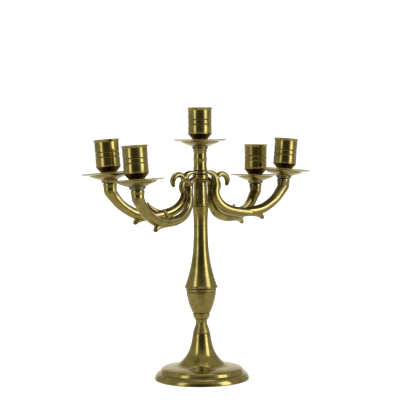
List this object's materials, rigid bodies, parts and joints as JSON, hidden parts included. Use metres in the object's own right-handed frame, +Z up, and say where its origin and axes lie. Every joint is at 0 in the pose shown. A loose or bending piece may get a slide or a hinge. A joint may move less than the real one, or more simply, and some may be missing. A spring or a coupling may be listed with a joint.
{
  "type": "candelabra",
  "caption": "Tabletop brass candelabra: stepped round foot, turned stem, scrolled arms in twin branches that swivel, drip pans and candle cups.",
  "frame": {"origin": "centre of the foot's underside, on the table", "axes": "+Z up the stem; +X to the right of the picture's view, +Y away from its camera"},
  "size_m": [0.244, 0.2332, 0.2918],
  "materials": {
    "turned_brass": "turned and polished, aged to an olive gold, darker in the grooves",
    "cast_brass": "cast and hand-finished, softer polish with brown and olive tarnish",
    "steel": "plain bright steel, hidden inside"
  },
  "bodies": {
    "stem": {"foot": "cast_brass", "foot_washer": "steel", "foot_nut": "steel", "tie_rod": "steel", "vase": "cast_brass", "trumpet": "turned_brass", "spool": "turned_brass", "neck": "turned_brass", "center_pan": "turned_brass", "center_cup": "turned_brass"},
    "lower_branch": {"lower_ring": "turned_brass", "lower_arm_right": "cast_brass", "lower_arm_left": "cast_brass", "lower_right_pan": "turned_brass", "lower_left_pan": "turned_brass", "lower_right_cup": "turned_brass", "lower_left_cup": "turned_brass", "lower_right_stud": "steel", "lower_left_stud": "steel"},
    "upper_branch": {"upper_ring": "turned_brass", "upper_arm_right": "cast_brass", "upper_arm_left": "cast_brass", "upper_right_pan": "turned_brass", "upper_left_pan": "turned_brass", "upper_right_cup": "turned_brass", "upper_left_cup": "turned_brass", "upper_right_stud": "steel", "upper_left_stud": "steel"}
  },
  "joints": [
    {"name": "lower_branch_swivel", "type": "hinge", "parent": "stem", "child": "lower_branch", "pos_m": [0, 0, 0.2178], "axis": [0, 0, 1], "continuous": true},
    {"name": "upper_branch_swivel", "type": "hinge", "parent": "lower_branch", "child": "upper_branch", "pos_m": [0, 0, 0.2227], "axis": [0, 0, 1], "range_deg": [-133, 0]}
  ]
}
